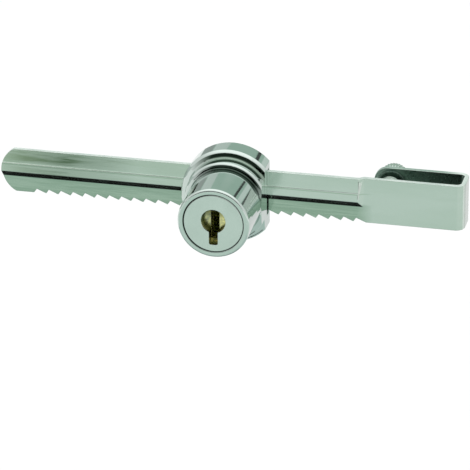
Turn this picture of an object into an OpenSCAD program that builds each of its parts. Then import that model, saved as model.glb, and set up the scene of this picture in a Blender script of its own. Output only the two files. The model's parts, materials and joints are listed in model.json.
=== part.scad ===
// Ratchet lock for sliding glass doors: a stamped toothed bar that hooks round the edge of the
// inner pane, and a key-operated lock body that slides along it and holds on the teeth.
// The glass plane is y = 0, the key side is -Y, the hook is towards +X and the teeth point to -Z.
// The origin is on the key barrel's axis, in the flat rear face of the lock body.

/* [Ratchet bar] */
// Thickness of the strip that the bar and its hook are stamped from
sheet_t = 1.4; // [1:0.1:1.5]
// Height of the bar, from the tooth tips to the plain edge
bar_h = 15; // [14:0.2:16]
// Height of the bar's middle line above the barrel axis
bar_rise = 0.95; // [0.8:0.05:1.3]
// Distance from one tooth to the next
tooth_pitch = 4; // [3.6:0.1:4.4]
// Depth of a tooth
tooth_depth = 1.3; // [1:0.1:1.5]
// Run of a tooth's steep flank, which faces the hook
steep_run = 0.9; // [0.5:0.1:1.2]
// Teeth between the pawl and the free end of the bar
teeth_free = 16; // [6:1:18]
// Teeth between the pawl and the hook
teeth_hook = 10; // [6:1:14]
// Place of the notch that holds the pawl, along the bar
notch_x = -0.1; // [-0.4:0.1:0.4]
// Plain lower edge between the first notch and the free end's corner
tail_l = 6; // [4:0.2:9]
// How far the rounded free end bulges past its corners
tail_bulge = 4.4; // [3:0.2:6]

/* [Raised strip of the bar] */
// How far the upper strip stands proud of the toothed strip
strip_raise = 1.1; // [0.8:0.05:1.2]
// Height of the raised strip, from the plain edge down
strip_h = 7.8; // [6.5:0.1:8]
// Distance of the strip's crease from the plain edge
crease_z = 4.8; // [4:0.1:5.5]
// How far the lip under the crease stands proud of the strip
lip_rise = 0.15; // [0.05:0.05:0.2]
// Height of the small slope at the crease
crease_h = 0.2; // [0.1:0.05:0.4]
// Height of the slope that joins the raised strip to the toothed strip
joggle_h = 2; // [1.6:0.1:2.4]
// Distance from the last tooth to the end of the raised strip
strip_over = 1.6; // [1:0.1:2]
// Length over which the raised strip runs out into the flat plate
strip_fade = 1.6; // [1:0.1:2]

/* [Hook] */
// Clear width between the plate and the hook's rear leg
hook_gap = 8.3; // [7.5:0.1:10]
// Outside radius of the hook's two bends
bend_r = 3; // [2.2:0.1:3.6]
// Flat plate between the raised strip and the outside of the web
plate_l = 31.8; // [29:0.2:36]
// Length of the rear leg, from its rounded end to the outside of the web
leg_l = 30.3; // [26:0.1:31]
// Corner radius of the rear leg's end
leg_corner_r = 4.4; // [3:0.2:6.4]

/* [Glass clamp] */
// Distance of the clamp screw from the rear leg's end
clamp_inset = 5.5; // [5:0.1:8]
// Height of the clamp screw above the bar's middle line
clamp_rise = 2.2; // [0:0.1:2.6]
// Radius of the clamp screw's thread
clamp_screw_r = 2; // [1.5:0.1:2.2]
// Radius of the clamp screw's knurled head
clamp_head_r = 4.6; // [4:0.1:5.4]
// Thickness of the clamp screw's knurled head
clamp_head_t = 3.2; // [2.5:0.1:5]
// Travel of the clamp screw and its pad towards the glass
clamp_travel = 1.6; // [1:0.1:1.8]
// Number of grooves round the knurled head
knurl_count = 30; // [20:1:40]
// Depth of a knurl groove
knurl_d = 0.35; // [0.2:0.05:0.5]
// Radius of the flange of the threaded bush in the rear leg
bush_flange_r = 4.5; // [3.8:0.1:4.8]
// Thickness of the bush's flange
bush_flange_t = 0.6; // [0.5:0.1:0.8]
// Radius of the pressure pad
pad_r = 3.3; // [3:0.1:4]
// Thickness of the pressure pad's metal cup
pad_t = 1.2; // [1.2:0.1:1.6]
// Thickness of the soft face on the pressure pad
cushion_t = 0.7; // [0.6:0.1:1]

/* [Lock body] */
// Radius of the lock body's disc
disc_r = 15.65; // [15.2:0.05:17]
// Depth of the disc's plain side
disc_side = 6.1; // [5.6:0.1:6.6]
// Chamfer round the front of the disc
disc_chamfer = 0.9; // [0.5:0.1:1.1]
// Distance of the disc's flat from the barrel axis
flat_x = 11.6; // [11.55:0.05:12.4]
// Radius of the collar between the disc and the barrel
collar_r = 13.3; // [12.9:0.1:13.8]
// Distance of the collar's front edge from the glass plane
collar_out = 11.6; // [11.4:0.1:12.5]
// Chamfer round the collar's front edge
collar_chamfer = 0.6; // [0.3:0.1:0.8]
// Radius of the barrel
barrel_r = 11.45; // [11:0.05:11.5]
// Distance of the barrel's face from the glass plane
face_out = 28.1; // [27.6:0.1:32]
// Rounding of the barrel's front rim
rim_r = 0.8; // [0.4:0.1:0.9]
// Thickness of the rear cover plate
cover_t = 1.2; // [1:0.1:1.2]
// Width of the disc's rim round the rear cover plate
cover_rim = 1.35; // [1.2:0.05:1.6]

/* [Plug] */
// Radius of the brass plug
plug_r = 8.2; // [8:0.05:8.3]
// Radius of the bright cap on the plug's front
cap_r = 9.5; // [9.2:0.05:9.8]
// Thickness of the cap
cap_t = 1.65; // [1.4:0.05:2]
// How far the cap sits below the barrel's face
cap_sink = 0.1; // [0:0.05:0.3]
// Radius of the round recess of the keyhole
key_recess_r = 3.9; // [3.6:0.1:4]
// Height of the recess's centre above the barrel axis
key_recess_z = 0.7; // [0.4:0.1:0.8]
// Width of the key slot
key_w = 2.8; // [2.4:0.1:3]
// Distance of the key slot's lower end from the barrel axis
key_low = 7.2; // [6.8:0.1:7.4]
// Corner radius at the lower end of the key slot
key_corner_r = 0.6; // [0.3:0.1:0.9]

/* [Wafers] */
// Number of wafers in the plug
wafer_n = 5; // [5:1:5]
// Thickness of a wafer
wafer_t = 1; // [0.8:0.05:1]
// Distance from one wafer to the next
wafer_pitch = 2.6; // [2.4:0.05:2.6]
// Width of a wafer
wafer_w = 7; // [6.4:0.1:7.2]
// Width of the key's window in a wafer
window_w = 3.4; // [3.1:0.1:3.6]
// How far a wafer comes out of the plug
wafer_travel = 0.9; // [0.6:0.05:0.9]

/* [Pawl and cam] */
// Travel of the pawl when the key is turned
pawl_travel = 2; // [1.8:0.1:2]
// Width of the pawl
pawl_w = 6.4; // [5.8:0.1:6.8]
// Smallest radius of the cam
cam_r = 4.6; // [4.4:0.1:4.8]
// Thickness of the cam
cam_t = 2.8; // [2.2:0.1:3]
// Width of the square tail that carries the cam
tail_w = 5; // [4.4:0.1:5.2]

/* [Hidden] */

// Fineness of turned surfaces
round_fn = 96;
// Reach of a cutting solid past the face that it cuts
over = 1;
// Running clearance between parts that slide or turn on each other
run_gap = 0.05;
// Clearance of the bar in the lock body's slot
slot_gap = 0.15;
// Clearance round the pawl in its pocket
pocket_gap = 0.1;

// Levels of the bar, in front of the glass plane and along the barrel's height
bar_back = cover_t + slot_gap;
bar_front = bar_back + sheet_t;
strip_front = bar_front + strip_raise + lip_rise;
slot_out = strip_front + slot_gap;
bar_top = bar_rise + bar_h / 2;
bar_low = bar_rise - bar_h / 2;
strip_low = bar_top - strip_h;

// Places along the bar
rest_tip_x = notch_x - steep_run;
first_tip_x = rest_tip_x - (teeth_free - 1) * tooth_pitch;
last_tip_x = rest_tip_x + teeth_hook * tooth_pitch;
tail_x = first_tip_x - tooth_pitch - tail_l;
strip_end = last_tip_x + strip_over;
web_x = strip_end + strip_fade + plate_l;
leg_x = web_x - leg_l;
leg_in = hook_gap - bar_back;
leg_out = leg_in + sheet_t;
tail_r = (pow(bar_h / 2, 2) + pow(tail_bulge, 2)) / (2 * tail_bulge);

// Clamp screw's axis, and the pad's face when it is drawn back
clamp_x = leg_x + clamp_inset;
clamp_z = bar_rise + clamp_rise;
bush_face = leg_in - bush_flange_t;
clamp_bore_r = clamp_screw_r + run_gap;
bush_wall = 0.9;
bush_r = clamp_bore_r + bush_wall;
clamp_neck_r = clamp_screw_r * 0.6;
clamp_end_r = clamp_neck_r + 0.4;
clamp_end_t = 0.4;
clamp_head_gap = clamp_travel + 0.3;
pad_gap = 0.2;
cup_wall = 0.5;
pad_back = bush_face - pad_gap;
pad_front = pad_back - pad_t;
cushion_front = pad_front - cushion_t;
cushion_r = pad_r - 0.35;

// Profile of the lock body: steps of the moulding in front of the disc
rear_bevel = 0.1;
moulding_slope = 0.25;
moulding_foot = 0.4;
shoulder_slope = 0.2;
barrel_foot = 0.35;
barrel_foot_l = 0.8;
disc_front = disc_side + disc_chamfer;
collar_foot = disc_front + moulding_slope + moulding_foot;
shoulder_out = collar_out + shoulder_slope;

// Bores and hollows of the lock body
bore_r = plug_r + run_gap;
cap_bore_r = cap_r + 0.1;
cap_back = face_out - cap_sink - cap_t;
cap_shelf = cap_back - 0.1;
cap_lap = 0.85;
plug_front = cap_back + cap_lap;
clip_t = 0.8;
clip_reach = 1;
hollow_out = collar_out - 1.6;
hollow_r = plug_r + clip_reach + 0.3;
groove_d = wafer_travel + 0.2;
groove_w = wafer_w + 0.3;

// Rear cover plate and its screws
cover_r = disc_r - cover_rim;
cover_flat = flat_x - cover_rim;
cover_gap = 0.05;
screw_r = 0.8;
screw_head_r = 1.5;
screw_head_t = 0.75;
screw_slot_w = 0.4;
screw_slot_d = 0.35;
screw_sunk = 0.1;
screw_l = 4.6;
screw_wall = 0.3;
screw_reach = cover_r - screw_head_r - screw_wall;
// Share of the free arc beside the bar at which the screws sit
screw_spread = 0.78;
screw_side = cover_flat - screw_head_r - screw_wall;
upper_screw_x = min(screw_side,
    screw_spread * sqrt(pow(screw_reach, 2) - pow(bar_top + slot_gap + screw_r, 2)));
upper_screw_z = sqrt(pow(screw_reach, 2) - pow(upper_screw_x, 2));
lower_screw_x = min(screw_side,
    screw_spread * sqrt(pow(screw_reach, 2) - pow(bar_low - slot_gap - screw_r, 2)));
lower_screw_z = -sqrt(pow(screw_reach, 2) - pow(lower_screw_x, 2));
SCREWS = [[-upper_screw_x, upper_screw_z], [upper_screw_x, upper_screw_z],
    [-lower_screw_x, lower_screw_z], [lower_screw_x, lower_screw_z]];

// Plug, cam and their screw
plug_tail = hollow_out - clip_t - 1;
cam_back = plug_tail - cam_t;
cam_screw_r = 1.25;
cam_head_lap = 0.35;
cam_head_r = tail_w / sqrt(2) + cam_head_lap;
cam_head_t = 0.8;
cam_recess_l = 3;
cam_recess_w = 0.6;
cam_recess_d = 0.5;
cam_screw_l = 4.6;
key_end = cam_back + cam_screw_l + 1.2;
recess_d = 2;
key_top = key_recess_z + key_recess_r;
window_low = 0.9 - key_low;
window_top = key_top + 0.4;

// Wafers: the first lies behind the recess, each has an ear at one side for its spring
first_wafer = plug_front - recess_d - 1;
wafer_slot_gap = 0.05;
ear_w = 2.1;
ear_h = 1.3;
ear_low = -3.2;
pocket_low = ear_low - wafer_travel - 0.2;
pocket_top = 4;
spring_room = 1.75;
wafer_spring_r = 0.8;
wafer_spring_wire = 0.12;
wafer_edge_r = plug_r - 0.08;

// Pawl: a block under the bar with a nose in the teeth and a tab in front that the cam pushes
cam_slack = 0.25;
pawl_h = 4.9;
pawl_drop = 0.55;
pawl_top = bar_low - pawl_drop;
pawl_low = pawl_top - pawl_h;
pawl_back = cover_t + pocket_gap;
tab_inset = 0.3;
tab_back = cam_back + tab_inset;
tab_front = plug_tail - tab_inset;
tab_w = 5;
tab_lap = 1.9;
tab_low = pawl_top - tab_lap;
tab_top = -(cam_r + cam_slack);
pawl_front = tab_back;
nose_front = bar_front + pocket_gap;
nose_slack = 0.1;
pocket_end_gap = 0.2;
pocket_floor = pawl_low - pawl_travel - pocket_end_gap;
spring_hole_d = 3.6;
spring_seat = pawl_low + spring_hole_d;
spring_out = (pawl_back + pawl_front) / 2;
pawl_spring_r = 1.2;
pawl_spring_wire = 0.2;
spring_hole_r = pawl_spring_r + pawl_spring_wire + 0.15;

// A cylinder along the barrel's direction, between two distances from the glass plane
module rod(r, out_a, out_b) {
    rotate([90, 0, 0])
        translate([0, 0, out_a])
            cylinder(r = r, h = out_b - out_a, $fn = round_fn);
}

// A flat shape in x and z, given thickness between two distances from the glass plane
module slab(out_a, out_b) {
    rotate([90, 0, 0])
        translate([0, 0, out_a])
            linear_extrude(out_b - out_a)
                children();
}

// A turned piece about the barrel axis, from a profile of radius and distance from the glass plane
module turned() {
    rotate([90, 0, 0])
        rotate_extrude($fn = round_fn)
            children();
}

// A prism along the bar, from a section in y and z
module along_bar(x_a, x_b) {
    translate([x_a, 0, 0])
        rotate([90, 0, 90])
            linear_extrude(x_b - x_a)
                children();
}

// A round bar swept along a helix about the z axis, with its ends closed
module coil_spring(r, wire, low, top, turns) {
    sides = 6;
    steps = 10;
    n = turns * steps;
    rise = (top - low - 2 * wire) / n;
    ring = [for (i = [0 : n]) for (j = [0 : sides - 1])
        let (a = 360 * i / steps, b = 360 * j / sides, d = r + wire * cos(b))
        [d * cos(a), d * sin(a), low + wire + i * rise + wire * sin(b)]];
    walls = [for (i = [0 : n - 1]) for (j = [0 : sides - 1])
        let (k = (j + 1) % sides, a = i * sides, b = (i + 1) * sides)
        each [[a + j, b + j, b + k], [a + j, b + k, a + k]]];
    ends = [[for (j = [0 : sides - 1]) j], [for (j = [sides - 1 : -1 : 0]) n * sides + j]];
    polyhedron(ring, concat(walls, ends));
}

// Section of the bar's front surface, down to the level of its back, in y and z
module front_section() {
    polygon([[-bar_back, bar_top], [-bar_front - strip_raise, bar_top],
        [-bar_front - strip_raise, bar_top - crease_z],
        [-strip_front, bar_top - crease_z - crease_h], [-strip_front, strip_low],
        [-bar_front, strip_low - joggle_h], [-bar_front, bar_low], [-bar_back, bar_low]]);
}

// Section of the channel that the raised strip leaves at the bar's back, in y and z
module channel_section() {
    polygon([[-bar_back + over, bar_top + over], [-bar_back - strip_raise, bar_top + over],
        [-bar_back - strip_raise, strip_low], [-bar_back, strip_low - joggle_h * 0.9],
        [-bar_back + over, strip_low - joggle_h * 0.9]]);
}

// Plan of the strip's run-out: the front surface falls back to the flat plate, in x and y
module fade_plan(level) {
    polygon([[tail_x - 2 * tail_bulge, -level - strip_raise - lip_rise],
        [strip_end, -level - strip_raise - lip_rise], [strip_end + strip_fade, -level],
        [web_x, -level], [web_x, -bar_back + over], [tail_x - 2 * tail_bulge, -bar_back + over]]);
}

// Side view of the bar: round free end, plain edges and saw teeth, in x and z
module bar_outline() {
    lower = [for (i = [-1 : teeth_free + teeth_hook - 1])
        let (tip = first_tip_x + i * tooth_pitch)
        each [[tip, bar_low], [tip + steep_run, bar_low + tooth_depth]]];
    intersection() {
        union() {
            translate([tail_x - tail_bulge + tail_r, bar_rise])
                circle(r = tail_r, $fn = 2 * round_fn);
            translate([tail_x, bar_low])
                square([web_x - tail_x, bar_h]);
        }
        polygon(concat([[tail_x - tail_bulge - over, bar_low]], lower,
            [[last_tip_x + tooth_pitch, bar_low], [web_x, bar_low], [web_x, bar_top],
            [tail_x - tail_bulge - over, bar_top]]));
    }
}

// A rectangle with its two right-hand corners rounded
module round_right(x_a, x_b, y_a, y_b, r) {
    translate([x_a, y_a])
        square([x_b - r - x_a, y_b - y_a]);
    translate([x_b - r - over, y_a + r])
        square([r + over, y_b - y_a - 2 * r]);
    for (y = [y_a + r, y_b - r])
        translate([x_b - r, y])
            circle(r = r, $fn = round_fn);
}

// The hook in plan: plate, web and rear leg of one bent strip, in x and y
module hook_plan() {
    difference() {
        round_right(leg_x, web_x, -bar_front, leg_out, bend_r);
        round_right(leg_x - over, web_x - sheet_t, -bar_back, leg_in, bend_r - sheet_t);
    }
}

// Side view of the rear leg, with its rounded end, in x and z
module leg_outline() {
    mirror([1, 0])
        round_right(-web_x, -leg_x, bar_low, bar_top, leg_corner_r);
}

// The toothed bar and its hook, one stamped and bent strip
module ratchet_bar() {
    color("lightsteelblue")
        difference() {
            union() {
                intersection() {
                    difference() {
                        intersection() {
                            along_bar(tail_x - 2 * tail_bulge, leg_x + over) front_section();
                            translate([0, 0, bar_low - over])
                                linear_extrude(bar_h + 2 * over)
                                    fade_plan(bar_front);
                        }
                        intersection() {
                            along_bar(tail_x - 2 * tail_bulge, strip_end + strip_fade)
                                channel_section();
                            translate([0, 0, bar_low - over])
                                linear_extrude(bar_h + 3 * over)
                                    fade_plan(bar_back);
                        }
                    }
                    slab(0, strip_front + over) bar_outline();
                }
                translate([0, 0, bar_low])
                    intersection() {
                        linear_extrude(bar_h)
                            hook_plan();
                        translate([0, 0, -bar_low])
                            union() {
                                slab(-leg_out - over, -leg_in / 2) leg_outline();
                                slab(-leg_in / 2, bar_front + over)
                                    translate([leg_x - over, bar_low])
                                        square([leg_l + over, bar_h]);
                            }
                    }
            }
            translate([clamp_x, 0, clamp_z])
                rod(bush_r, -leg_out - over, -leg_in + over);
        }
}

// Flanged bush with the clamp screw's thread, pressed into the rear leg from inside the hook
module clamp_bush() {
    color("silver")
        translate([clamp_x, 0, clamp_z])
            difference() {
                union() {
                    rod(bush_flange_r, -leg_in, -bush_face);
                    rod(bush_r, -leg_out, -leg_in);
                }
                rod(clamp_bore_r, -leg_out - over, -bush_face + over);
            }
}

// Outline of the knurled head, a ring of shallow grooves
module knurled_outline() {
    polygon([for (i = [0 : 2 * knurl_count - 1])
        let (a = 180 * i / knurl_count, r = clamp_head_r - (i % 2) * knurl_d)
        [r * cos(a), r * sin(a)]]);
}

// Clamp screw: knurled head behind the leg, shank in the bush, thin neck in the pad
module clamp_screw() {
    head_front = leg_out + clamp_head_gap;
    color("silver")
        translate([clamp_x, 0, clamp_z]) {
            intersection() {
                slab(-head_front - clamp_head_t, -head_front) knurled_outline();
                turned()
                    polygon([[0, -head_front - clamp_head_t],
                        [clamp_head_r - knurl_d, -head_front - clamp_head_t],
                        [clamp_head_r, -head_front - clamp_head_t + knurl_d],
                        [clamp_head_r, -head_front - knurl_d],
                        [clamp_head_r - knurl_d, -head_front], [0, -head_front]]);
            }
            rod(clamp_screw_r, -head_front, -pad_back - run_gap);
            rod(clamp_neck_r, -head_front, -pad_back + cup_wall + clamp_end_t);
            rod(clamp_end_r, -pad_back + cup_wall + run_gap, -pad_back + cup_wall + clamp_end_t);
        }
}

// Metal cup of the pressure pad, which swivels on the screw's neck
module pressure_pad() {
    color("gainsboro")
        translate([clamp_x, 0, clamp_z])
            difference() {
                turned()
                    polygon([[0, -pad_back], [pad_r - 0.3, -pad_back], [pad_r, -pad_back + 0.3],
                        [pad_r, -pad_front], [0, -pad_front]]);
                rod(clamp_neck_r + run_gap, -pad_back - over, -pad_front + over);
                rod(clamp_end_r + run_gap, -pad_back + cup_wall, -pad_front + over);
            }
}

// Soft face of the pressure pad, which touches the glass
module pad_cushion() {
    color("dimgray")
        translate([clamp_x, 0, clamp_z])
            rod(cushion_r, -pad_front, -cushion_front);
}

// Half profile of the lock body's outside, as radius and distance from the glass plane
module body_profile() {
    polygon([[0, 0], [disc_r - rear_bevel, 0], [disc_r, rear_bevel], [disc_r, disc_side],
        [disc_r - disc_chamfer, disc_front],
        [collar_r + moulding_foot, disc_front + moulding_slope],
        [collar_r, collar_foot], [collar_r, collar_out - collar_chamfer],
        [collar_r - collar_chamfer, collar_out],
        [barrel_r + barrel_foot, shoulder_out], [barrel_r, shoulder_out + barrel_foot_l],
        [barrel_r, face_out - rim_r], [barrel_r - rim_r, face_out - rim_r],
        [0, face_out - rim_r]]);
    translate([0, face_out - rim_r - over])
        square([barrel_r - rim_r, rim_r + over]);
    translate([barrel_r - rim_r, face_out - rim_r])
        circle(r = rim_r, $fn = 32);
}

// Room for the pawl: a pocket under the bar and a shorter one in front for the tab
module pawl_pocket() {
    slab(cover_t - run_gap, pawl_front + pocket_gap)
        translate([-pawl_w / 2 - pocket_gap, pocket_floor])
            square([pawl_w + 2 * pocket_gap, -pocket_floor]);
    slab(cover_t - run_gap, tab_front + pocket_gap)
        translate([-tab_w / 2 - pocket_gap, tab_low - pawl_travel - pocket_gap])
            square([tab_w + 2 * pocket_gap, -tab_low + pawl_travel]);
}

// Cast body: D-shaped disc, collar and barrel, with the plug's bore and the bar's slot
module lock_body() {
    color("gainsboro")
        difference() {
            intersection() {
                turned() body_profile();
                slab(-over, face_out + over)
                    translate([-disc_r - over, -disc_r - over])
                        square([disc_r + over + flat_x, 2 * (disc_r + over)]);
            }
            rod(cap_bore_r, cap_shelf, face_out + over);
            rod(bore_r, hollow_out - over, cap_shelf + over);
            rod(hollow_r, slot_out - run_gap, hollow_out);
            intersection() {
                rod(hollow_r, cover_t - run_gap, slot_out);
                translate([-hollow_r - over, -slot_out - over, bar_low - slot_gap])
                    cube([2 * (hollow_r + over), slot_out + over, 2 * hollow_r]);
            }
            slab(cover_t, slot_out)
                translate([-disc_r - over, bar_low - slot_gap])
                    square([2 * (disc_r + over), bar_h + 2 * slot_gap]);
            pawl_pocket();
            slab(-over, cover_t) cover_outline(0);
            for (p = SCREWS)
                translate([p[0], 0, p[1]])
                    rod(screw_r, cover_t - over, screw_l + 0.3);
            for (a = [0, 90])
                rotate([0, a, 0])
                    slab(key_end, first_wafer + wafer_t)
                        translate([-groove_w / 2, -bore_r - groove_d])
                            square([groove_w, bore_r]);
        }
}

// Outline of the rear cover, a disc with one flat side, in x and z
module cover_outline(gap) {
    intersection() {
        circle(r = cover_r - gap, $fn = round_fn);
        translate([-disc_r, -disc_r])
            square([disc_r + cover_flat - gap, 2 * disc_r]);
    }
}

// Rear cover plate, let into the back of the disc behind the bar
module rear_cover() {
    color("silver")
        difference() {
            slab(0, cover_t) cover_outline(cover_gap);
            for (p = SCREWS)
                translate([p[0], 0, p[1]])
                    turned()
                        polygon([[0, -over], [screw_head_r + run_gap, -over],
                            [screw_head_r + run_gap, run_gap],
                            [screw_r + run_gap, screw_head_t + run_gap],
                            [screw_r + run_gap, cover_t + over], [0, cover_t + over]]);
        }
}

// Four countersunk screws that hold the rear cover, each with a slot for the driver
module cover_screws() {
    color("silver")
        for (p = SCREWS)
            translate([p[0], 0, p[1]])
                difference() {
                    turned()
                        polygon([[0, screw_sunk], [screw_head_r, screw_sunk],
                            [screw_r, screw_head_t], [screw_r - run_gap, screw_head_t + run_gap],
                            [screw_r - run_gap, screw_l], [0, screw_l]]);
                    slab(-over, screw_sunk + screw_slot_d)
                        square([2 * screw_head_r + over, screw_slot_w], center = true);
                }
}

// Keyhole in front view: the round recess and the key slot under it, in x and z
module key_slot() {
    translate([-key_w / 2, -key_low + key_corner_r])
        square([key_w, key_top - 0.4 + key_low - key_corner_r]);
    translate([-key_w / 2 + key_corner_r, -key_low])
        square([key_w - 2 * key_corner_r, key_low]);
    for (x = [-1, 1])
        translate([x * (key_w / 2 - key_corner_r), -key_low + key_corner_r])
            circle(r = key_corner_r, $fn = 32);
}

// Bright cap pressed on the plug's front, with the keyhole
module plug_cap() {
    bevel = 0.2;
    color("gainsboro")
        difference() {
            turned()
                polygon([[0, cap_back], [cap_r, cap_back], [cap_r, cap_back + cap_t - bevel],
                    [cap_r - bevel, cap_back + cap_t], [0, cap_back + cap_t]]);
            rod(plug_r + run_gap / 2, cap_back - over, plug_front);
            translate([0, 0, key_recess_z])
                rod(key_recess_r, cap_back - over, face_out + over);
            slab(cap_back - over, face_out + over) key_slot();
        }
}

// Shape of a wafer's slot in the plug with its spring pocket, in x and z
module wafer_slot() {
    translate([-wafer_w / 2 - wafer_slot_gap, -plug_r - over])
        square([wafer_w + 2 * wafer_slot_gap, 2 * (plug_r + over)]);
}

// Brass plug: keyway, wafer slots with spring pockets, clip groove and square tail
module plug() {
    color("goldenrod")
        difference() {
            union() {
                rod(plug_r, plug_tail, plug_front);
                slab(cam_back, plug_tail + over)
                    square(tail_w, center = true);
            }
            translate([0, 0, key_recess_z])
                rod(key_recess_r, plug_front - recess_d, plug_front + over);
            slab(key_end, plug_front + over) key_slot();
            for (i = [0 : wafer_n - 1])
                let (mid = first_wafer - i * wafer_pitch) {
                    slab(mid - wafer_t / 2 - wafer_slot_gap, mid + wafer_t / 2 + wafer_slot_gap)
                        wafer_slot();
                    slab(mid - spring_room / 2, mid + spring_room / 2)
                        translate([wafer_w / 2 - over, pocket_low])
                            square([ear_w + wafer_slot_gap + over, pocket_top - pocket_low]);
                }
            difference() {
                rod(plug_r + over, hollow_out - clip_t - 0.1, hollow_out);
                rod(plug_r - clip_reach, hollow_out - clip_t - over, hollow_out + over);
            }
            rod(cam_screw_r, cam_back - over, cam_back + cam_screw_l + 0.3);
        }
}

// Open spring ring in the plug's rear groove, which bears on the body's inner shoulder
module plug_clip() {
    mouth = 50;
    color("slategray")
        difference() {
            rod(plug_r + clip_reach, hollow_out - clip_t - run_gap, hollow_out - run_gap);
            rod(plug_r - clip_reach + 0.05, hollow_out - clip_t - over, hollow_out + over);
            slab(hollow_out - clip_t - over, hollow_out + over)
                polygon([[0, 0], for (a = [-mouth : 10 : mouth])
                    [2 * plug_r * cos(90 + a), 2 * plug_r * sin(90 + a)]]);
        }
}

// Outline of the cam: its radius grows evenly with the angle, in x and z
module cam_outline() {
    flank = 6;
    polygon([for (a = [-90 : flank : 0]) let (r = cam_r + pawl_travel * (a + 90) / 90)
        [r * cos(a), r * sin(a)],
        for (a = [0 : flank : 270 - flank])
            let (r = a < 90 ? cam_r + pawl_travel * (1 - a / 90) : cam_r)
            [r * cos(a), r * sin(a)]]);
}

// Cam on the plug's square tail, which pushes the pawl out of the teeth
module cam() {
    color("slategray")
        difference() {
            slab(cam_back, plug_tail) cam_outline();
            slab(cam_back - over, plug_tail + over)
                square(tail_w + run_gap, center = true);
        }
}

// Screw that holds the cam on the tail, with a crossed recess
module cam_screw() {
    color("silver")
        difference() {
            union() {
                rod(cam_head_r, cam_back - cam_head_t, cam_back);
                rod(cam_screw_r - run_gap, cam_back - over / 2, cam_back + cam_screw_l);
            }
            for (a = [0, 90])
                rotate([0, a, 0])
                    slab(cam_back - cam_head_t - over, cam_back - cam_head_t + cam_recess_d)
                        square([cam_recess_l, cam_recess_w], center = true);
        }
}

// Side view of the pawl's nose, which fills the notch, in x and z
module nose_outline() {
    tip = bar_low + tooth_depth;
    polygon([[rest_tip_x + nose_slack, pawl_top - over],
        [rest_tip_x + nose_slack, bar_low - nose_slack / 2],
        [notch_x + nose_slack, tip - nose_slack],
        [rest_tip_x + tooth_pitch - nose_slack, bar_low - nose_slack],
        [rest_tip_x + tooth_pitch - nose_slack, pawl_top - over]]);
}

// Pawl: block with a hole for its spring, nose in the teeth, tab in front of the bar
module pawl() {
    color("slategray")
        difference() {
            union() {
                slab(pawl_back, pawl_front)
                    translate([-pawl_w / 2, pawl_low])
                        square([pawl_w, pawl_top - pawl_low]);
                slab(pawl_back, nose_front) nose_outline();
                slab(tab_back, tab_front)
                    translate([-tab_w / 2, tab_low])
                        square([tab_w, tab_top - tab_low]);
            }
            translate([0, -spring_out, pawl_low - over])
                cylinder(r = spring_hole_r, h = spring_seat - pawl_low + over, $fn = 32);
        }
}

// Spring between the floor of the body's pocket and the pawl
module pawl_spring() {
    color("lightgray")
        translate([0, -spring_out, 0])
            coil_spring(pawl_spring_r, pawl_spring_wire, pocket_floor, spring_seat, 6);
}

// One wafer, with the key's window and the ear for its spring
module wafer(i) {
    mid = first_wafer - (i - 1) * wafer_pitch;
    color("gold")
        slab(mid - wafer_t / 2, mid + wafer_t / 2)
            difference() {
                union() {
                    intersection() {
                        circle(r = wafer_edge_r, $fn = round_fn);
                        square([wafer_w, 2 * plug_r], center = true);
                    }
                    translate([wafer_w / 2 - over, ear_low])
                        square([ear_w + over, ear_h]);
                }
                translate([-window_w / 2, window_low])
                    square([window_w, window_top - window_low]);
            }
}

// Spring on a wafer's ear, which pushes the wafer out of the plug
module wafer_spring(i) {
    mid = first_wafer - (i - 1) * wafer_pitch;
    color("lightgray")
        translate([(wafer_w + ear_w) / 2 + 0.05, -mid, 0])
            coil_spring(wafer_spring_r - wafer_spring_wire, wafer_spring_wire,
                ear_low + ear_h, pocket_top, 6);
}

ratchet_bar();
clamp_bush();
clamp_screw();
pressure_pad();
pad_cushion();
lock_body();
rear_cover();
cover_screws();
plug();
plug_cap();
plug_clip();
cam();
cam_screw();
pawl();
pawl_spring();
wafer(1);  // wafer_1
wafer(2);  // wafer_2
wafer(3);  // wafer_3
wafer(4);  // wafer_4
wafer(5);  // wafer_5
wafer_spring(1);  // wafer_spring_1
wafer_spring(2);  // wafer_spring_2
wafer_spring(3);  // wafer_spring_3
wafer_spring(4);  // wafer_spring_4
wafer_spring(5);  // wafer_spring_5
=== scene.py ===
import json
from math import cos, pi, radians, sin

import bmesh
import bpy
from mathutils import Matrix, Vector


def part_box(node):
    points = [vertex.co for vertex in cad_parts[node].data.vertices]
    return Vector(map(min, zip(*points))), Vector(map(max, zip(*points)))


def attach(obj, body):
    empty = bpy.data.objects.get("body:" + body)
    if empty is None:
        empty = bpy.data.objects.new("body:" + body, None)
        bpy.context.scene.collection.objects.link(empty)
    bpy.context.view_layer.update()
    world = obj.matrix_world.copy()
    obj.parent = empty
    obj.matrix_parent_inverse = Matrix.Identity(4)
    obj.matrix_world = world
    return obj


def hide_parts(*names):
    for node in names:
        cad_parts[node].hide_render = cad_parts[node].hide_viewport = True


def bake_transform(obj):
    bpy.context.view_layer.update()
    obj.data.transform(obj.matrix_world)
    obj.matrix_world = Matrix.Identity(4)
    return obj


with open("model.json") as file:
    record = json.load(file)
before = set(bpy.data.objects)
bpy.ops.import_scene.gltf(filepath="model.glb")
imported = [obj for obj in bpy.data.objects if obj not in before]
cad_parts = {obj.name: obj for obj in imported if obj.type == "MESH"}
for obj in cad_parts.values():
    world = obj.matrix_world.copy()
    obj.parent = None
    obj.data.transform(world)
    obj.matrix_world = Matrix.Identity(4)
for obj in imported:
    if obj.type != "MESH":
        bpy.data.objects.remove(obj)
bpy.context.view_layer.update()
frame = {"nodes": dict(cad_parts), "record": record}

NODES = frame["nodes"]
BODY_OF = {n: body for body, nodes in frame["record"]["behaviour"]["bodies"].items() for n in nodes}
MM = 0.001

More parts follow.
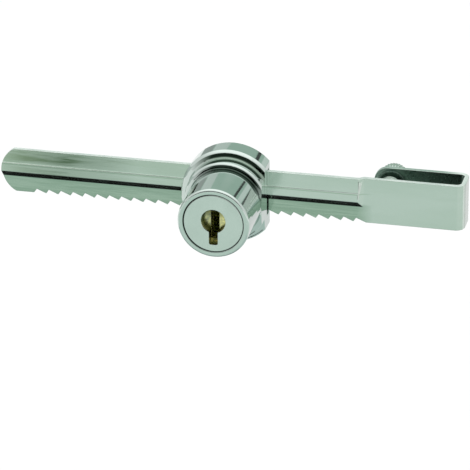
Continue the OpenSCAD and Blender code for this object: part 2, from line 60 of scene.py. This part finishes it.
# Camera, fitted to the photograph in its 470 x 470 pixels
IMAGE_PX = 470
FOCUS_PX = 3464.3
CENTRE_PX = (232.07, 191.18)
AZIMUTH, ELEVATION, ROLL = radians(13.432), radians(23.819), radians(-0.373)
DISTANCE = 1.09118
TARGET = Vector((0, -0.00255, 0))
SENSOR_MM = 36

# Stage
FLOOR_Z = -0.30
FLOOR_SIZE = 14.0

# The barrel's face and the middle of the groove round its cap, in millimetres
FACE_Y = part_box("lock_body")[0].y / MM
CAP_R = 9.55
WIDE_EDGE = 0.3
# The keyhole recess's middle height, and the bands of painted shade at the collar's foot and on the
# disc's face, in millimetres
RECESS_Z = 0.7
FOOT_HIGH, FOOT_LOW = 11.6, 12.4
DISC_FACE_HIGH, DISC_FACE_LOW = 6.95, 7.6

# Clamp screw, from the pad's end to the back of its head, in millimetres
SCREW_END_R, SCREW_END_L = 1.6, 0.35
SCREW_NECK_R, SCREW_NECK_L = 1.2, 0.6
THREAD_R, THREAD_DEPTH, THREAD_PITCH = 2.0, 0.32, 0.7
HEAD_L, HEAD_CHAMFER = 3.2, 0.35
GROOVES, GROOVE_DEPTH = 30, 0.35

# Springs: radius of the wire in millimetres, turns, and the fineness of their meshes
PAWL_WIRE, WAFER_WIRE = 0.2, 0.12
SPRING_TURNS, SPRING_STEPS, WIRE_SIDES = 6, 24, 8

# Surroundings, as the metal sees them
FRONT_LEVEL = 0.9
OVERHEAD_LEVEL = 1.4
BACK_COLOUR = (0.42, 0.55, 0.48)
PANEL_COLOUR = (0.90, 1.0, 0.95)

# Places on the bar, in millimetres, from the frame
BAR_LOW, BAR_HIGH = (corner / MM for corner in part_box("ratchet_bar"))
HOOK_X = BAR_HIGH.x - 31.8
JOGGLE_Z = -0.6
CREASE_Z = BAR_HIGH.z - 4.9
PLATE_BACK = -1.35
LEG_FRONT = BAR_HIGH.y - 1.4


def add_camera():
    """The photograph's view: its direction, focal length and framing."""
    back = Vector((cos(ELEVATION) * sin(AZIMUTH), -cos(ELEVATION) * cos(AZIMUTH), sin(ELEVATION)))
    level = Vector((cos(AZIMUTH), sin(AZIMUTH), 0))
    up = back.cross(level)
    right = cos(ROLL) * level + sin(ROLL) * up
    up = -sin(ROLL) * level + cos(ROLL) * up
    camera = bpy.data.cameras.new("camera")
    camera.sensor_width = SENSOR_MM
    camera.lens = FOCUS_PX / IMAGE_PX * SENSOR_MM
    camera.shift_x = (IMAGE_PX / 2 - CENTRE_PX[0]) / IMAGE_PX
    camera.shift_y = (CENTRE_PX[1] - IMAGE_PX / 2) / IMAGE_PX
    camera.clip_start, camera.clip_end = 0.01, 50
    rig = bpy.data.objects.new("camera", camera)
    bpy.context.scene.collection.objects.link(rig)
    place = TARGET + DISTANCE * back
    rig.matrix_world = Matrix((
        (right.x, up.x, back.x, place.x),
        (right.y, up.y, back.y, place.y),
        (right.z, up.z, back.z, place.z),
        (0, 0, 0, 1)))
    bpy.context.scene.camera = rig


class Shader:
    """A small builder for one material's nodes, with all lengths in millimetres."""

    def __init__(self, name):
        self.material = bpy.data.materials.new(name)
        self.material.use_nodes = True
        self.tree = self.material.node_tree
        self.bsdf = self.tree.nodes["Principled BSDF"]
        self.place = self.add("ShaderNodeTexCoord").outputs["Object"]

    def add(self, kind, **settings):
        node = self.tree.nodes.new(kind)
        for key, value in settings.items():
            setattr(node, key, value)
        return node

    def link(self, a, b):
        self.tree.links.new(a, b)

    def noise(self, size, scale=(1, 1, 1), detail=3.0):
        """Noise from 0 to 1 with features of about `size`, drawn out along an axis by a small scale."""
        mapping = self.add("ShaderNodeMapping")
        mapping.inputs["Scale"].default_value = [s / MM for s in scale]
        self.link(self.place, mapping.inputs["Vector"])
        node = self.add("ShaderNodeTexNoise")
        node.inputs["Scale"].default_value = 1 / size
        node.inputs["Detail"].default_value = detail
        self.link(mapping.outputs["Vector"], node.inputs["Vector"])
        return node.outputs["Fac"]

    def spread(self, value, low, high, start=0.3, end=0.7):
        """A value brought from start..end to low..high, and held there beyond."""
        node = self.add("ShaderNodeMapRange")
        node.inputs["From Min"].default_value = start
        node.inputs["From Max"].default_value = end
        node.inputs["To Min"].default_value = low
        node.inputs["To Max"].default_value = high
        self.link(value, node.inputs["Value"])
        return node.outputs["Result"]

    def axis(self, name, low, high, start, end):
        """low to high as the place along one axis goes from start to end."""
        parts = self.add("ShaderNodeSeparateXYZ")
        self.link(self.place, parts.inputs["Vector"])
        return self.spread(parts.outputs[name], low, high, start * MM, end * MM)

    def maths(self, kind, a, b):
        """A sum, product and so on of two values, either of which may be a number."""
        node = self.add("ShaderNodeMath", operation=kind)
        for socket, value in zip(node.inputs, (a, b)):
            if isinstance(value, (int, float)):
                socket.default_value = value
            else:
                self.link(value, socket)
        return node.outputs["Value"]

    def colours(self, value, stops):
        """A colour ramp with stops of (place, colour)."""
        node = self.add("ShaderNodeValToRGB")
        ramp = node.color_ramp
        while len(ramp.elements) < len(stops):
            ramp.elements.new(0.5)
        for element, (place, colour) in zip(ramp.elements, stops):
            element.position = place
            element.color = (*colour, 1)
        self.link(value, node.inputs["Fac"])
        return node.outputs["Color"]

    def mix(self, kind, fac, a, b):
        """Two colours mixed; fac, a and b may each be a number, a colour or a socket."""
        node = self.add("ShaderNodeMix", data_type="RGBA", blend_type=kind)
        for socket, value in ((node.inputs[0], fac), (node.inputs[6], a), (node.inputs[7], b)):
            if isinstance(value, tuple):
                socket.default_value = (*value, 1)
            elif isinstance(value, (int, float)):
                socket.default_value = value
            else:
                self.link(value, socket)
        return node.outputs[2]

    def distance(self, x, z):
        """Metres from the line along Y through this point, which is given in millimetres."""
        parts = self.add("ShaderNodeSeparateXYZ")
        self.link(self.place, parts.inputs["Vector"])
        squares = [self.maths("POWER", self.maths("SUBTRACT", parts.outputs[key], middle * MM), 2)
                   for key, middle in (("X", x), ("Z", z))]
        root = self.add("ShaderNodeMath", operation="SQRT")
        self.link(self.maths("ADD", *squares), root.inputs[0])
        return root.outputs["Value"]

    def relief(self, value, depth):
        """Bump of a depth."""
        bump = self.add("ShaderNodeBump")
        bump.inputs["Strength"].default_value = 1
        bump.inputs["Distance"].default_value = depth * MM
        self.link(value, bump.inputs["Height"])
        self.link(bump.outputs["Normal"], self.bsdf.inputs["Normal"])


def metal(name, colours, rough, grain, streak=(1, 1, 1), depth=0.001, patch=6.0, tone=None):
    """Metal with soft patches of tone, uneven polish and a fine grain; tone darkens or brightens it by
    place, mostly as painted shade.
    """
    shader = Shader(name)
    shader.bsdf.inputs["Metallic"].default_value = 1
    colour = shader.colours(shader.noise(patch, streak), ((0.35, colours[0]), (0.65, colours[1])))
    if tone:
        colour = tone(shader, colour)
    shader.link(colour, shader.bsdf.inputs["Base Color"])
    shader.link(shader.spread(shader.noise(grain * 4, streak, 4), *rough),
                shader.bsdf.inputs["Roughness"])
    shader.relief(shader.noise(grain, streak), depth)
    return shader.material


def bar_tone(shader, colour):
    """Painted light on the bar: clouded painted reflection on the raised strip's free half, a painted
    highlight on the crease, and painted shade under the crease and on the toothed strip.
    """
    # Painted reflection: clouds that stand for the strip's waviness mirroring darker surroundings.
    broad = shader.spread(shader.noise(2.2, (0.07, 1, 1), 4), 0, 1, 0.34, 0.66)
    fine = shader.spread(shader.noise(0.6, (0.05, 1, 1), 3), 0, 1, 0.3, 0.7)
    cloud = shader.maths("ADD", shader.maths("MULTIPLY", broad, 0.6), shader.maths("MULTIPLY", fine, 0.4))
    # Painted shade along the raised strip, darkest about a fifth of the way from its free end.
    x = shader.axis("X", 0, 1, BAR_LOW.x, HOOK_X)
    by_x = shader.colours(x, (
        (0.00, (0.75, 0.80, 0.70)), (0.07, (0.42, 0.48, 0.36)), (0.18, (0.18, 0.25, 0.16)),
        (0.30, (0.50, 0.55, 0.48)), (0.38, (0.88, 0.90, 0.86)), (0.55, (0.92, 0.94, 0.90)),
        (0.80, (1.0, 1.0, 1.0))))
    raised = shader.axis("Z", 0, 1, JOGGLE_Z - 0.3, JOGGLE_Z + 0.3)
    above = shader.axis("Z", 0.6, 1, CREASE_Z - 0.2, CREASE_Z + 1.6)
    # Faces turned to the front take the painted clouds fully, faces turned back less.
    turned = shader.add("ShaderNodeSeparateXYZ")
    shader.link(shader.add("ShaderNodeNewGeometry").outputs["Normal"], turned.inputs["Vector"])
    front = shader.spread(turned.outputs["Y"], 1, 0.35, -0.5, 0.5)
    cloudy = shader.maths("MULTIPLY", shader.spread(cloud, 1.0, 0.6, 0.36, 0.64),
                          shader.maths("MULTIPLY", raised, front))
    colour = shader.mix("MULTIPLY", shader.maths("MULTIPLY", cloudy, above), colour, by_x)
    # Painted highlight: a bright line along the crease, on the free end.
    free = shader.axis("X", 1, 0, 0, 30)
    line = shader.maths("MULTIPLY", shader.axis("Z", 0, 1, CREASE_Z - 0.15, CREASE_Z),
                        shader.axis("Z", 1, 0, CREASE_Z + 0.15, CREASE_Z + 0.3))
    colour = shader.mix("MIX", shader.maths("MULTIPLY", line, free), colour, (0.80, 0.90, 0.80))
    # Painted shade: a darker band just under the crease, along the strip up to the hook.
    under = shader.maths("MULTIPLY", shader.axis("Z", 0, 1, CREASE_Z - 0.7, CREASE_Z - 0.5),
                         shader.axis("Z", 1, 0, CREASE_Z - 0.3, CREASE_Z - 0.15))
    plate = shader.axis("X", 1, 0, HOOK_X - 2, HOOK_X + 3)
    colour = shader.mix("MULTIPLY", shader.maths("MULTIPLY", under, plate), colour, (0.72, 0.78, 0.72))
    # Painted shade: the toothed strip darker than the raised strip, in clouds.
    toothed = shader.maths("SUBTRACT", 1, raised)
    in_shade = shader.maths("MULTIPLY", toothed, plate)
    strip_shade = shader.colours(cloud, ((0.35, (0.58, 0.68, 0.60)), (0.65, (0.70, 0.78, 0.71))))
    return shader.mix("MULTIPLY", in_shade, colour, strip_shade)


def groove_shade(shader, colour):
    """Painted shade: a darker line where the cap meets the barrel's rim, strongest on the left."""
    off = shader.add("ShaderNodeMath", operation="ABSOLUTE")
    shader.link(shader.maths("SUBTRACT", shader.distance(0, 0), CAP_R * MM), off.inputs[0])
    near = shader.spread(off.outputs["Value"], 1, 0, 0.15 * MM, 0.35 * MM)
    front = shader.axis("Y", 1, 0, FACE_Y + 0.6, FACE_Y + 1.2)
    side = shader.axis("X", 1, 0.4, -5, 4)
    shade_mask = shader.maths("MULTIPLY", shader.maths("MULTIPLY", near, front), side)
    return shader.mix("MULTIPLY", shade_mask, colour, (0.12, 0.16, 0.13))


def chrome_tone(shader, colour):
    """Painted shade: the cap's groove, the dark corners that the collar makes with the disc and the
    barrel, and a dark arc on the disc's face, mostly at the top and right.
    """
    colour = groove_shade(shader, colour)
    # The painted shade is strongest at the top and right of the barrel.
    upper = shader.maths("MULTIPLY", shader.axis("Z", 0, 1, -1, 7), shader.axis("X", 0.1, 1, -11, -4))
    foot = shader.maths("MULTIPLY", shader.axis("Y", 0, 1, -FOOT_LOW - 0.5, -FOOT_LOW),
                        shader.axis("Y", 1, 0, -FOOT_HIGH, -FOOT_HIGH + 0.15))
    colour = shader.mix("MULTIPLY", shader.maths("MULTIPLY", foot, upper), colour, (0.09, 0.12, 0.10))
    face = shader.maths("MULTIPLY", shader.axis("Y", 0, 1, -DISC_FACE_LOW - 0.3, -DISC_FACE_LOW),
                        shader.axis("Y", 1, 0, -DISC_FACE_HIGH, -DISC_FACE_HIGH + 0.1))
    colour = shader.mix("MULTIPLY", shader.maths("MULTIPLY", face, upper), colour, (0.45, 0.52, 0.45))
    # A painted dark arc on the outer part of the disc's face, at the top.
    outer = shader.spread(shader.distance(0, 0), 0, 1, 13.7 * MM, 13.9 * MM)
    arc = shader.maths("MULTIPLY", shader.axis("X", 0, 1, -12, -6), shader.axis("Z", 0, 1, 0, 6))
    dark = shader.maths("MULTIPLY", shader.maths("MULTIPLY", arc, outer), face)
    return shader.mix("MULTIPLY", dark, colour, (0.10, 0.13, 0.11))


def keyhole_depth(shader, colour):
    """Brass in bright and dark patches, with painted shade at the recess's wall, at its top and deeper
    in, and a painted greyer reflection on its left side.
    """
    # Painted shade at the recess's wall and along its top.
    wall = shader.spread(shader.distance(0, RECESS_Z), 0, 1, 3.1 * MM, 3.8 * MM)
    top = shader.axis("Z", 0, 1, RECESS_Z, RECESS_Z + 2.6)
    front = shader.axis("Y", 1, 0, FACE_Y + 3, FACE_Y + 3.2)
    colour = shader.mix("MULTIPLY", shader.maths("MULTIPLY", wall, front), colour, (0.38, 0.42, 0.28))
    colour = shader.mix("MULTIPLY", shader.maths("MULTIPLY", top, front), colour, (0.18, 0.20, 0.13))
    # Painted shade, darker deeper into the keyway.
    depth = shader.axis("Y", 0, 1, FACE_Y + 4, FACE_Y + 12)
    colour = shader.mix("MULTIPLY", depth, colour, (0.85, 0.95, 0.7))
    # Painted reflection: the left side darker and greyer.
    return shader.mix("MULTIPLY", shader.axis("X", 1, 0, -3, 1), colour, (0.62, 0.68, 0.80))


def inside_tone(shader, colour):
    """The hook's inside: a painted shadow, black around the pad, and painted shade darker towards the
    closed end.
    """
    pad_low, pad_high = (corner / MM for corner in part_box("pressure_pad"))
    pad = (pad_low + pad_high) / 2
    pad_r = (pad_high.x - pad_low.x) / 2
    near = shader.spread(shader.distance(pad.x, pad.z), 1, 0, (pad_r + 0.5) * MM, (pad_r + 1.6) * MM)
    colour = shader.mix("MULTIPLY", near, colour, (0.12, 0.16, 0.14))
    closed = shader.axis("X", 0, 1, pad.x, BAR_HIGH.x - 4)
    return shader.mix("MULTIPLY", closed, colour, (0.45, 0.45, 0.45))


def edge_tone(shader, colour):
    """The rear leg's edge, greyer than the plate's."""
    leg = shader.maths("MULTIPLY", shader.axis("Y", 0, 1, LEG_FRONT - 0.6, LEG_FRONT),
                       shader.axis("X", 1, 0, BAR_HIGH.x - 8, BAR_HIGH.x - 3))
    return shader.mix("MULTIPLY", leg, colour, (0.52, 0.62, 0.57))


def finishes():
    """Every material, by the name that dress() asks for."""
    pad = Shader("soft_pad")
    pad.link(pad.colours(pad.noise(0.6), ((0.4, (0.42, 0.50, 0.45)), (0.6, (0.50, 0.58, 0.53)))),
             pad.bsdf.inputs["Base Color"])
    pad.bsdf.inputs["Roughness"].default_value = 0.45
    pad.relief(pad.noise(0.2), 0.01)
    return {
        "bar": metal("plated_steel", ((0.56, 0.64, 0.58), (0.60, 0.67, 0.62)), (0.10, 0.17),
                     0.15, (0.15, 1, 1), tone=bar_tone),
        "plated": metal("plated_parts", ((0.56, 0.64, 0.58), (0.60, 0.67, 0.62)), (0.12, 0.2), 0.15),
        "edge": metal("sheared_edge", ((0.66, 0.74, 0.70), (0.80, 0.86, 0.82)), (0.45, 0.6), 0.1,
                      (1, 0.2, 0.2), 0.004, tone=edge_tone),
        # A rougher, darker copy of the plating, for the clamp bush and for the bar's faces inside the
        # hook and along the teeth; inside the hook its darkness is painted shade.
        "in_shade": metal("shaded_dull_plating", ((0.22, 0.32, 0.27), (0.30, 0.40, 0.35)), (0.25, 0.35), 0.15,
                      tone=inside_tone),
        "chrome": metal("bright_chrome", ((0.57, 0.65, 0.61), (0.59, 0.67, 0.63)), (0.03, 0.07),
                        0.3, depth=0.0003, tone=chrome_tone),
        # The satin chrome cap, with painted shade in the groove round it.
        "cap": metal("satin_chrome", ((0.60, 0.67, 0.63), (0.64, 0.71, 0.67)), (0.16, 0.2), 0.1,
                     depth=0.0005, tone=groove_shade),
        "zinc": metal("cover_steel", ((0.46, 0.50, 0.50), (0.56, 0.60, 0.60)), (0.25, 0.4), 0.15),
        "hard": metal("hard_steel", ((0.22, 0.23, 0.25), (0.32, 0.33, 0.35)), (0.3, 0.42), 0.1),
        "spring": metal("spring_steel", ((0.38, 0.39, 0.41), (0.48, 0.49, 0.51)), (0.2, 0.3), 0.1),
        "brass": metal("brass", ((0.44, 0.44, 0.27), (0.90, 0.80, 0.36)), (0.12, 0.3), 0.15,
                       patch=1.1, tone=keyhole_depth),
        "soft": pad.material,
    }


def finish_piece(piece, node, faces):
    """Puts a finished mesh piece in its node's place, with flat faces shaded flat."""
    piece.data.set_sharp_from_angle(angle=radians(50))
    weights = piece.modifiers.new("weighted normals", "WEIGHTED_NORMAL")
    weights.keep_sharp = True
    weights.weight = 100
    for face in piece.data.polygons:
        face.use_smooth = True
    for k, material in enumerate(faces):
        piece.data.materials.append(material)
    bpy.context.scene.collection.objects.link(piece)
    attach(piece, BODY_OF[node])
    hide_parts(node)
    return piece


def soften(node, materials, width, least=25, pick=None, keep=None, wide=None):
    """A copy of a CAD node with its sharp edges rounded to a width in millimetres.

    Edges where keep(edge) is true stay as they are, those where wide(edge) is true get WIDE_EDGE,
    and pick(face) chooses among the materials.
    """
    mesh = bmesh.new()
    mesh.from_mesh(NODES[node].data)
    bmesh.ops.remove_doubles(mesh, verts=mesh.verts, dist=1e-6)
    bmesh.ops.dissolve_limit(mesh, angle_limit=radians(0.6), verts=mesh.verts, edges=mesh.edges)
    sharp = [e for e in mesh.edges if len(e.link_faces) == 2
             and e.calc_face_angle() > radians(least) and not (keep and keep(e))]
    broad = [e for e in sharp if wide and wide(e)]
    fine = [e for e in sharp if e not in broad]
    for edges, size in ((broad, WIDE_EDGE), (fine, width)):
        if edges:
            bmesh.ops.bevel(mesh, geom=edges, offset=size * MM, offset_type="OFFSET", segments=3,
                            profile=0.5, affect="EDGES", clamp_overlap=False, loop_slide=True)
    if pick:
        mesh.normal_update()
        for face in mesh.faces:
            face.material_index = pick(face)
    data = bpy.data.meshes.new(node + "_finished")
    mesh.to_mesh(data)
    mesh.free()
    return finish_piece(bpy.data.objects.new(node + "_finished", data), node, materials)


def in_cap_groove(edge):
    """True on the edge of the barrel's rim round the cap."""
    ends = [v.co / MM for v in edge.verts]
    return all(p.y < FACE_Y + 0.2 and p.xz.length < CAP_R + 0.2 for p in ends)


def bar_side(face):
    """0 on the strip's rolled faces, 1 on its cut edges, 2 for the darker plating inside the hook, where
    it is painted shade, and along the teeth.
    """
    n = face.normal
    x, y, z = face.calc_center_median() / MM
    if (abs(n.z) > 0.85 and abs(n.y) < 0.5) or (abs(n.y) < 0.3 and x < HOOK_X + 10):
        return 1
    inside = HOOK_X < x < BAR_HIGH.x - 1.2 and PLATE_BACK - 0.1 < y < LEG_FRONT + 0.1
    under = y < PLATE_BACK and z < BAR_LOW.z + 1.6 and -0.95 < n.z < -0.25
    return 2 * int(inside and abs(n.z) < 0.3 or under)


def on_crease(edge):
    """True on the two long edges of the raised strip's crease."""
    ends = [v.co / MM for v in edge.verts]
    return all(abs(p.z - CREASE_Z) < 0.3 and p.y < PLATE_BACK for p in ends)


def dress(names, material):
    """Gives CAD nodes their material."""
    for name in names:
        data = NODES[name].data
        data.materials.clear()
        data.materials.append(material)


def dress_nodes():
    """Rounds the edges of the outer pieces and gives every node its finish."""
    looks = finishes()
    for name, look in (("pad_cushion", "soft"), ("plug", "brass"), ("cam", "hard"), ("pawl", "hard"),
                       ("plug_clip", "spring"), ("pawl_spring", "spring"), ("cam_screw", "zinc"),
                       ("clamp_screw", "plated"), ("ratchet_bar", "bar"), ("lock_body", "chrome"),
                       ("plug_cap", "cap"), ("rear_cover", "zinc"), ("cover_screws", "hard"),
                       ("clamp_bush", "in_shade"), ("pressure_pad", "plated")):
        dress([name], looks[look])
    dress([n for n in NODES if n.startswith("wafer_spring")], looks["spring"])
    dress([n for n in NODES if n[:-1] == "wafer_"], looks["brass"])
    soften("ratchet_bar", [looks["bar"], looks["edge"], looks["in_shade"]], 0.12, pick=bar_side,
           keep=on_crease)
    soften("lock_body", [looks["chrome"]], 0.1, least=35, wide=in_cap_groove)
    soften("plug_cap", [looks["cap"]], 0.1)
    soften("rear_cover", [looks["zinc"]], 0.08)
    soften("clamp_bush", [looks["in_shade"]], 0.08)
    soften("pressure_pad", [looks["plated"]], 0.08)
    build_clamp_screw(looks["plated"])
    build_spring("pawl_spring", PAWL_WIRE, looks["spring"])
    for name in [n for n in NODES if n.startswith("wafer_spring")]:
        build_spring(name, WAFER_WIRE, looks["spring"])


def build_spring(node, wire, material):
    """A coil spring between two bodies, made as one fixed mesh in its node's place."""
    low, high = (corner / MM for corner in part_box(node))
    middle = (low + high) / 2
    coil_r = (high.x - low.x) / 2 - wire
    count = SPRING_TURNS * SPRING_STEPS
    verts = []
    for i in range(count + 1):
        a = 2 * pi * i / SPRING_STEPS
        rise = low.z + wire + (high.z - low.z - 2 * wire) * i / count
        for k in range(WIRE_SIDES):
            b = 2 * pi * k / WIRE_SIDES
            r = coil_r + wire * cos(b)
            verts.append(((middle.x + r * cos(a)) * MM, (middle.y + r * sin(a)) * MM,
                          (rise + wire * sin(b)) * MM))
    faces = [(i * WIRE_SIDES + k, (i + 1) * WIRE_SIDES + k, (i + 1) * WIRE_SIDES + (k + 1) % WIRE_SIDES,
              i * WIRE_SIDES + (k + 1) % WIRE_SIDES) for i in range(count) for k in range(WIRE_SIDES)]
    faces.append(tuple(range(WIRE_SIDES)))
    faces.append(tuple(count * WIRE_SIDES + k for k in reversed(range(WIRE_SIDES))))
    data = bpy.data.meshes.new(node + "_finished")
    data.from_pydata(verts, [], faces)
    for face in data.polygons:
        face.use_smooth = True
    data.materials.append(material)
    spring = bpy.data.objects.new(node + "_finished", data)
    bpy.context.scene.collection.objects.link(spring)
    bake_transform(spring)
    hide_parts(node)


def build_clamp_screw(material):
    """The clamp screw with its real thread and a knurled head, turned about its axis."""
    low, high = (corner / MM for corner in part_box("clamp_screw"))
    middle = (low + high) / 2
    head_r = (high.x - low.x) / 2
    head_front = high.y - HEAD_L
    thread_start = low.y + SCREW_END_L + SCREW_NECK_L
    turns = 8 * round((head_front - thread_start) / THREAD_PITCH)

    def plain(r):
        return lambda y, a: r

    def thread(y, a):
        wave = 0.5 - 0.5 * cos(2 * pi * y / THREAD_PITCH + a)
        return THREAD_R - THREAD_DEPTH * wave

    def knurl(y, a):
        return head_r - GROOVE_DEPTH * (0.5 - 0.5 * cos(GROOVES * a))

    rings = [(low.y, plain(SCREW_END_R)), (low.y + SCREW_END_L, plain(SCREW_END_R)),
             (low.y + SCREW_END_L, plain(SCREW_NECK_R)), (thread_start, plain(SCREW_NECK_R))]
    rings += [(thread_start + (head_front - thread_start) * k / turns, thread)
              for k in range(turns + 1)]
    rings += [(head_front, plain(head_r - HEAD_CHAMFER)), (head_front + HEAD_CHAMFER, knurl),
              (high.y - HEAD_CHAMFER, knurl), (high.y, plain(head_r - HEAD_CHAMFER))]
    steps = 8 * GROOVES
    verts = []
    for y, radius in rings:
        for k in range(steps):
            a = 2 * pi * k / steps
            r = radius(y, a)
            verts.append(((middle.x + r * cos(a)) * MM, y * MM, (middle.z + r * sin(a)) * MM))
    faces = [(i * steps + k, (i + 1) * steps + k, (i + 1) * steps + (k + 1) % steps,
              i * steps + (k + 1) % steps) for i in range(len(rings) - 1) for k in range(steps)]
    last = (len(rings) - 1) * steps
    faces.append(tuple(range(steps)))
    faces.append(tuple(last + k for k in reversed(range(steps))))
    data = bpy.data.meshes.new("clamp_screw_finished")
    data.from_pydata(verts, [], faces)
    piece = finish_piece(bpy.data.objects.new("clamp_screw_finished", data), "clamp_screw", [material])
    return piece


def glow(name, colour, strength):
    """A plain emitting material for the stage."""
    material = bpy.data.materials.new(name)
    material.use_nodes = True
    tree = material.node_tree
    tree.nodes.clear()
    light = tree.nodes.new("ShaderNodeEmission")
    light.inputs["Color"].default_value = (*colour, 1)
    light.inputs["Strength"].default_value = strength
    out = tree.nodes.new("ShaderNodeOutputMaterial")
    tree.links.new(light.outputs["Emission"], out.inputs["Surface"])
    return material


def panel(name, corners, strength, colour=(1, 1, 1)):
    """A flat panel that only reflections see: a softbox, or a dark flag at a low strength."""
    mesh = bpy.data.meshes.new(name)
    mesh.from_pydata(corners, [], [(0, 1, 2, 3)])
    mesh.materials.append(glow(name, colour, strength))
    board = bpy.data.objects.new(name, mesh)
    bpy.context.scene.collection.objects.link(board)
    board.visible_camera = False
    board.visible_diffuse = False
    board.visible_shadow = False


def upright_panel(name, left, right, low, high, strength, far=2.2):
    """A panel behind the object, or in front at a negative distance, by its slopes x/y and z/y."""
    panel(name, [(left * far, far, low * abs(far)), (right * far, far, low * abs(far)),
                 (right * far, far, high * abs(far)), (left * far, far, high * abs(far))],
          strength, PANEL_COLOUR)


def floor_panel(name, left, right, near, far, strength, colour):
    """A tinted board that lies just over the floor."""
    level = FLOOR_Z + 0.015
    panel(name, [(left, near, level), (right, near, level), (right, far, level),
                 (left, far, level)], strength, colour)


def add_floor():
    """Plain pale floor."""
    mesh = bpy.data.meshes.new("floor")
    half = FLOOR_SIZE / 2
    mesh.from_pydata([(-half, -half, FLOOR_Z), (half, -half, FLOOR_Z), (half, half, FLOOR_Z),
                      (-half, half, FLOOR_Z)], [], [(0, 1, 2, 3)])
    material = bpy.data.materials.new("floor")
    material.use_nodes = True
    surface = material.node_tree.nodes["Principled BSDF"]
    surface.inputs["Base Color"].default_value = (0.84, 0.84, 0.84, 1)
    surface.inputs["Roughness"].default_value = 1
    surface.inputs["Specular IOR Level"].default_value = 0
    mesh.materials.append(material)
    floor = bpy.data.objects.new("floor", mesh)
    bpy.context.scene.collection.objects.link(floor)


def add_world():
    """Soft surroundings: bright overhead, white in front and at the sides, greenish grey behind."""
    world = bpy.data.worlds.new("studio")
    world.use_nodes = True
    tree = world.node_tree

    def ramp(value, start, end, low, high):
        node = tree.nodes.new("ShaderNodeMapRange")
        for key, number in (("From Min", start), ("From Max", end), ("To Min", low), ("To Max", high)):
            node.inputs[key].default_value = number
        tree.links.new(value, node.inputs["Value"])
        return node.outputs["Result"]

    coords = tree.nodes.new("ShaderNodeTexCoord")
    parts = tree.nodes.new("ShaderNodeSeparateXYZ")
    tree.links.new(coords.outputs["Generated"], parts.inputs["Vector"])
    sky = ramp(parts.outputs["Z"], 0.5, 0.85, FRONT_LEVEL, OVERHEAD_LEVEL)
    behind = ramp(parts.outputs["Y"], 0.35, 0.7, 0, 1)
    low = ramp(parts.outputs["Z"], 0.45, 0.7, 1, 0)
    share = tree.nodes.new("ShaderNodeMath")
    share.operation = "MULTIPLY"
    tree.links.new(behind, share.inputs[0])
    tree.links.new(low, share.inputs[1])
    white = tree.nodes.new("ShaderNodeCombineColor")
    for channel in white.inputs:
        tree.links.new(sky, channel)
    mix = tree.nodes.new("ShaderNodeMix")
    mix.data_type = "RGBA"
    tree.links.new(share.outputs["Value"], mix.inputs[0])
    tree.links.new(white.outputs["Color"], mix.inputs[6])
    mix.inputs[7].default_value = (*BACK_COLOUR, 1)
    tree.links.new(mix.outputs[2], tree.nodes["Background"].inputs["Color"])
    bpy.context.scene.world = world


def add_lights():
    """A wide soft light for the floor, and the panels that the metal reflects."""
    sun = bpy.data.lights.new("soft_light", "SUN")
    sun.energy = 0.3
    sun.angle = radians(60)
    rig = bpy.data.objects.new("soft_light", sun)
    rig.rotation_euler = (radians(20), radians(-12), 0)
    rig.visible_glossy = False
    bpy.context.scene.collection.objects.link(rig)
    floor_panel("board_front", -0.75, 0.30, -1.20, -0.44, 0.93, (0.76, 0.88, 0.82))
    floor_panel("board_near", -0.45, 0.30, -0.44, 0.20, 0.72, (0.82, 0.96, 0.92))
    floor_panel("board_behind", -0.20, 0.70, 0.35, 1.30, 0.82, (1, 1, 1))
    floor_panel("board_right", 0.30, 1.20, -1.20, 0.10, 0.9, (0.84, 0.95, 0.89))
    panel("flag_below", [(-0.15, -0.045, -0.15), (0.06, -0.045, -0.15), (0.06, 0.008, -0.15),
                         (-0.15, 0.008, -0.15)], 0.01)
    upright_panel("flag_front", 0.75, -0.40, -0.12, 0.20, 0.01, far=-2.2)
    upright_panel("flag_front_high", 0.62, -0.32, 0.20, 0.62, 0.35, far=-2.25)
    upright_panel("flag_front_left", 0.95, 0.36, -0.27, -0.08, 0.05, far=-2.1)
    panel("board_left", [(-2.2, -1.3, -0.28), (-2.2, 0.9, -0.28), (-2.2, 0.9, 0.35),
                         (-2.2, -1.3, 0.35)], 0.62, PANEL_COLOUR)
    upright_panel("strip_left", -0.52, -0.24, 0.19, 0.42, 0.68)
    upright_panel("flag_left", -0.60, -0.34, -0.10, 0.17, 0.4)
    upright_panel("flag_right_high", 0.24, 0.60, 0.36, 0.41, 0.08)
    upright_panel("strip_right", 0.38, 0.62, 0.17, 0.30, 0.75)
    upright_panel("flag_right_low", 0.38, 0.66, 0.03, 0.15, 0.15)


add_camera()
add_floor()
add_world()
add_lights()
dress_nodes()
bpy.context.scene.view_settings.view_transform = "Standard"
